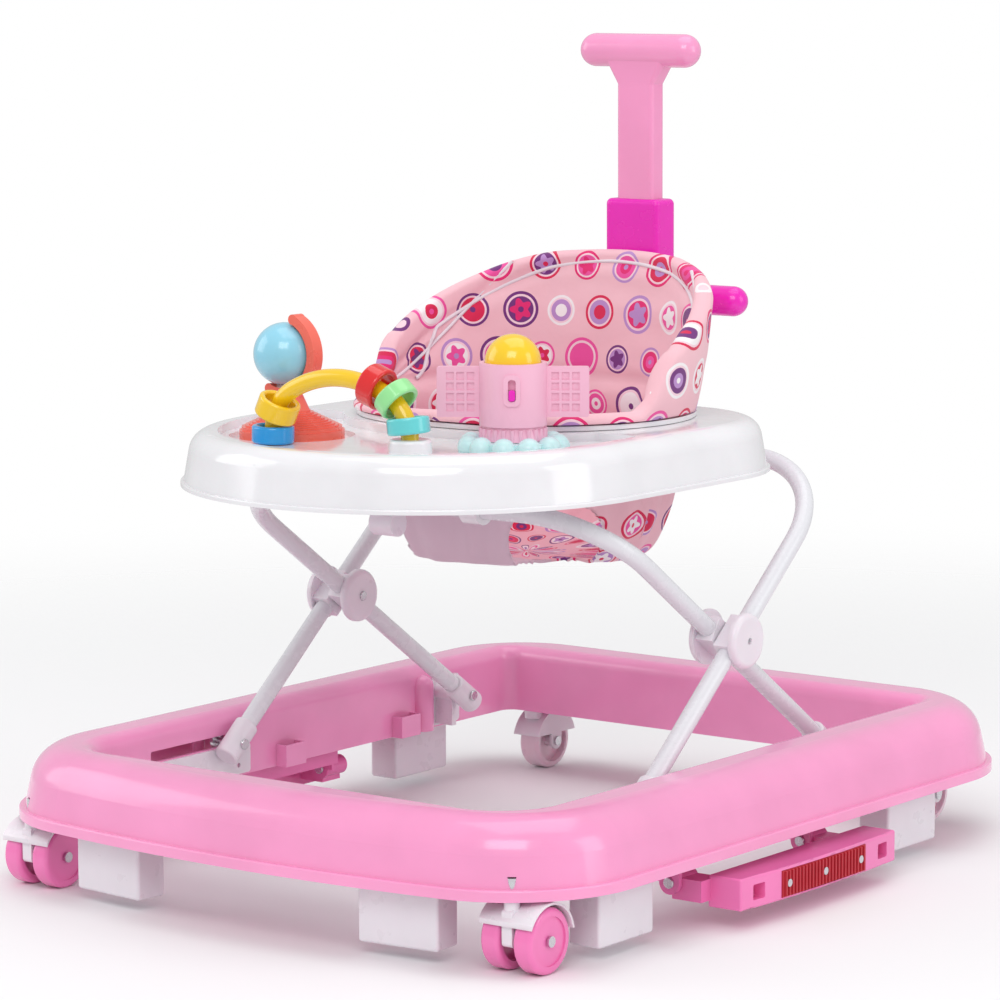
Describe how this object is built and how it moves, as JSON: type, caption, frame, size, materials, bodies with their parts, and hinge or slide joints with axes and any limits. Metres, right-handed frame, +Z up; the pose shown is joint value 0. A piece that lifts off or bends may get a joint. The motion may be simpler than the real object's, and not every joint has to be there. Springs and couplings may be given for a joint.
{
  "type": "baby walker",
  "caption": "Baby walker with a bowed rounded base ring on casters, a folding scissor frame, a play tray with a printed fabric seat, and a push handle.",
  "frame": {"origin": "on the floor under the middle of the walker's box, at its highest setting", "axes": "+Z up, the child faces -Y, +X is the child's left"},
  "size_m": [0.6646, 0.7749, 0.72],
  "materials": {
    "pink_shell": "glossy baby pink moulding",
    "hot_pink": "glossy deeper pink",
    "soft_pink": "satin pale pink",
    "white_block": "slightly translucent white",
    "white_paint": "white powder coat",
    "tray_white": "glossy white moulding",
    "steel": "zinc plated",
    "red_rubber": "ribbed red rubber",
    "rear_wheel_pink": "translucent pinkish white",
    "seat_fabric": "pale pink printed cotton over wadding",
    "magenta": "glossy magenta",
    "coral": "glossy coral",
    "light_blue": "glossy light blue",
    "yellow": "glossy yellow",
    "aqua": "satin pale aqua",
    "blue": "glossy blue",
    "red": "glossy red",
    "green": "glossy light green",
    "turquoise": "glossy turquoise"
  },
  "bodies": {
    "base": {"base_shell": "pink_shell", "front_stop_blocks": "white_block", "side_stop_blocks": "white_block", "rocker_hinge_pins": "steel", "rear_foot_pins": "steel", "slide_bracket_left": "white_block", "slide_bracket_right": "white_block", "foot_bracket_left": "white_block", "foot_bracket_right": "white_block", "rocker_bracket_left": "hot_pink", "rocker_bracket_right": "hot_pink"},
    "front_frame": {"front_frame_tube": "white_paint", "rear_foot_caps": "white_block", "inner_hubs": "white_block", "pivot_bolts": "steel"},
    "rear_frame": {"rear_frame_tube": "white_paint", "front_foot_caps": "white_block", "outer_hubs": "white_block", "front_slide_pins": "steel"},
    "tray_unit": {"tray": "tray_white", "tray_hinges": "tray_white", "seat_ring": "tray_white", "seat_back": "seat_fabric", "seat_sling": "seat_fabric", "push_bar": "magenta", "globe_stand": "coral", "bead_arch": "yellow", "rocket_base": "aqua"},
    "latch": {"height_latch": "white_block"},
    "parent_handle": {"push_handle": "pink_shell"},
    "globe_ball": {"globe": "light_blue"},
    "rocket": {"rocket_body": "soft_pink"},
    "rocket_slider": {"rocket_switch": "magenta"},
    "rocket_nose": {"rocket_dome": "yellow"},
    "blue_ring": {"bead_blue": "blue"},
    "yellow_ring": {"bead_yellow": "yellow"},
    "red_ring": {"bead_red": "red"},
    "green_ring": {"bead_green": "green"},
    "turquoise_ring": {"bead_turquoise": "turquoise"},
    "front_caster_left_body": {"front_caster_left": "white_block", "front_caster_pins_left": "steel"},
    "rear_caster_left_body": {"rear_caster_left": "white_block", "rear_caster_pins_left": "steel"},
    "rocker_left": {"rocker_bar_left": "hot_pink", "rocker_grip_left": "red_rubber", "grip_screws_left": "steel"},
    "front_wheel_left_outer_body": {"front_wheel_left_outer": "hot_pink"},
    "front_wheel_left_inner_body": {"front_wheel_left_inner": "hot_pink"},
    "rear_wheel_left_body": {"rear_wheel_left": "rear_wheel_pink"},
    "front_caster_right_body": {"front_caster_right": "white_block", "front_caster_pins_right": "steel"},
    "rear_caster_right_body": {"rear_caster_right": "white_block", "rear_caster_pins_right": "steel"},
    "rocker_right": {"rocker_bar_right": "hot_pink", "rocker_grip_right": "red_rubber", "grip_screws_right": "steel"},
    "front_wheel_right_outer_body": {"front_wheel_right_outer": "hot_pink"},
    "front_wheel_right_inner_body": {"front_wheel_right_inner": "hot_pink"},
    "rear_wheel_right_body": {"rear_wheel_right": "rear_wheel_pink"}
  },
  "joints": [
    {"name": "fold", "type": "hinge", "parent": "base", "child": "front_frame", "pos_m": [0, 0.19206, 0.095], "axis": [1, 0, 0], "range_deg": [0, 26]},
    {"name": "scissor", "type": "hinge", "parent": "front_frame", "child": "rear_frame", "pos_m": [0, 0.0232, 0.2128], "axis": [1, 0, 0], "range_deg": [-55.9, 0]},
    {"name": "tray_level", "type": "hinge", "parent": "front_frame", "child": "tray_unit", "pos_m": [0, -0.14903, 0.33295], "axis": [1, 0, 0], "range_deg": [-26, 0]},
    {"name": "latch_squeeze", "type": "hinge", "parent": "tray_unit", "child": "latch", "pos_m": [0, -0.14903, 0.33295], "axis": [1, 0, 0], "range_deg": [0, 12], "stiffness_Nm_per_rad": 0.3},
    {"name": "handle_slide", "type": "slide", "parent": "tray_unit", "child": "parent_handle", "axis": [0, 0, 1], "range_m": [0, 0.09]},
    {"name": "globe_spin", "type": "hinge", "parent": "tray_unit", "child": "globe_ball", "pos_m": [-0.109, -0.176, 0.455], "axis": [0.4067, 0, 0.9135], "continuous": true},
    {"name": "rocket_twist", "type": "hinge", "parent": "tray_unit", "child": "rocket", "pos_m": [0.118, -0.154, 0.395], "axis": [0, 0, 1], "continuous": true},
    {"name": "rocket_switch_slide", "type": "slide", "parent": "rocket", "child": "rocket_slider", "axis": [0, 0, 1], "range_m": [0, 0.008]},
    {"name": "rocket_nose_press", "type": "slide", "parent": "rocket", "child": "rocket_nose", "axis": [0, 0, -1], "range_m": [0, 0.003], "stiffness_N_per_m": 400},
    {"name": "yellow_ring_travel", "type": "hinge", "parent": "tray_unit", "child": "yellow_ring", "pos_m": [-0.033, -0.2345, 0.3977], "axis": [0, 1, 0], "range_deg": [0, 45]},
    {"name": "blue_ring_travel", "type": "hinge", "parent": "tray_unit", "child": "blue_ring", "pos_m": [-0.033, -0.2345, 0.3977], "axis": [0, 1, 0], "range_deg": [0, 45]},
    {"name": "red_ring_travel", "type": "hinge", "parent": "tray_unit", "child": "red_ring", "pos_m": [0.033, -0.2345, 0.3977], "axis": [0, -1, 0], "range_deg": [0, 15]},
    {"name": "green_ring_travel", "type": "hinge", "parent": "tray_unit", "child": "green_ring", "pos_m": [0.033, -0.2345, 0.3977], "axis": [0, -1, 0], "range_deg": [0, 15]},
    {"name": "turquoise_ring_travel", "type": "hinge", "parent": "tray_unit", "child": "turquoise_ring", "pos_m": [0.033, -0.2345, 0.3977], "axis": [0, -1, 0], "range_deg": [0, 15]},
    {"name": "front_caster_left_swivel", "type": "hinge", "parent": "base", "child": "front_caster_left_body", "pos_m": [0.257, -0.3425, 0.06], "axis": [0, 0, 1], "continuous": true},
    {"name": "rear_caster_left_swivel", "type": "hinge", "parent": "base", "child": "rear_caster_left_body", "pos_m": [0.2166, 0.3235, 0.06], "axis": [0, 0, 1], "continuous": true},
    {"name": "front_wheel_left_outer_spin", "type": "hinge", "parent": "front_caster_left_body", "child": "front_wheel_left_outer_body", "pos_m": [0.257, -0.3255, 0.027], "axis": [1, 0, 0], "continuous": true},
    {"name": "front_wheel_left_inner_spin", "type": "hinge", "parent": "front_caster_left_body", "child": "front_wheel_left_inner_body", "pos_m": [0.257, -0.3255, 0.027], "axis": [1, 0, 0], "continuous": true},
    {"name": "rear_wheel_left_spin", "type": "hinge", "parent": "rear_caster_left_body", "child": "rear_wheel_left_body", "pos_m": [0.2166, 0.3405, 0.027], "axis": [1, 0, 0], "continuous": true},
    {"name": "rocker_left_fold", "type": "hinge", "parent": "base", "child": "rocker_left", "pos_m": [0.267, 0, 0.038], "axis": [0, 1, 0], "range_deg": [0, 90]},
    {"name": "front_caster_right_swivel", "type": "hinge", "parent": "base", "child": "front_caster_right_body", "pos_m": [-0.257, -0.3425, 0.06], "axis": [0, 0, 1], "continuous": true},
    {"name": "rear_caster_right_swivel", "type": "hinge", "parent": "base", "child": "rear_caster_right_body", "pos_m": [-0.2166, 0.3235, 0.06], "axis": [0, 0, 1], "continuous": true},
    {"name": "front_wheel_right_outer_spin", "type": "hinge", "parent": "front_caster_right_body", "child": "front_wheel_right_outer_body", "pos_m": [-0.257, -0.3255, 0.027], "axis": [1, 0, 0], "continuous": true},
    {"name": "front_wheel_right_inner_spin", "type": "hinge", "parent": "front_caster_right_body", "child": "front_wheel_right_inner_body", "pos_m": [-0.257, -0.3255, 0.027], "axis": [1, 0, 0], "continuous": true},
    {"name": "rear_wheel_right_spin", "type": "hinge", "parent": "rear_caster_right_body", "child": "rear_wheel_right_body", "pos_m": [-0.2166, 0.3405, 0.027], "axis": [1, 0, 0], "continuous": true},
    {"name": "rocker_right_fold", "type": "hinge", "parent": "base", "child": "rocker_right", "pos_m": [-0.267, 0, 0.038], "axis": [0, -1, 0], "range_deg": [0, 90]}
  ],
  "couplings": [
    {"joint": "scissor", "follows": "fold", "ratio": -2.15},
    {"joint": "tray_level", "follows": "fold", "ratio": -1},
    {"joint": "blue_ring_travel", "follows": "yellow_ring_travel", "ratio": 1},
    {"joint": "green_ring_travel", "follows": "red_ring_travel", "ratio": 1},
    {"joint": "turquoise_ring_travel", "follows": "red_ring_travel", "ratio": 1}
  ]
}
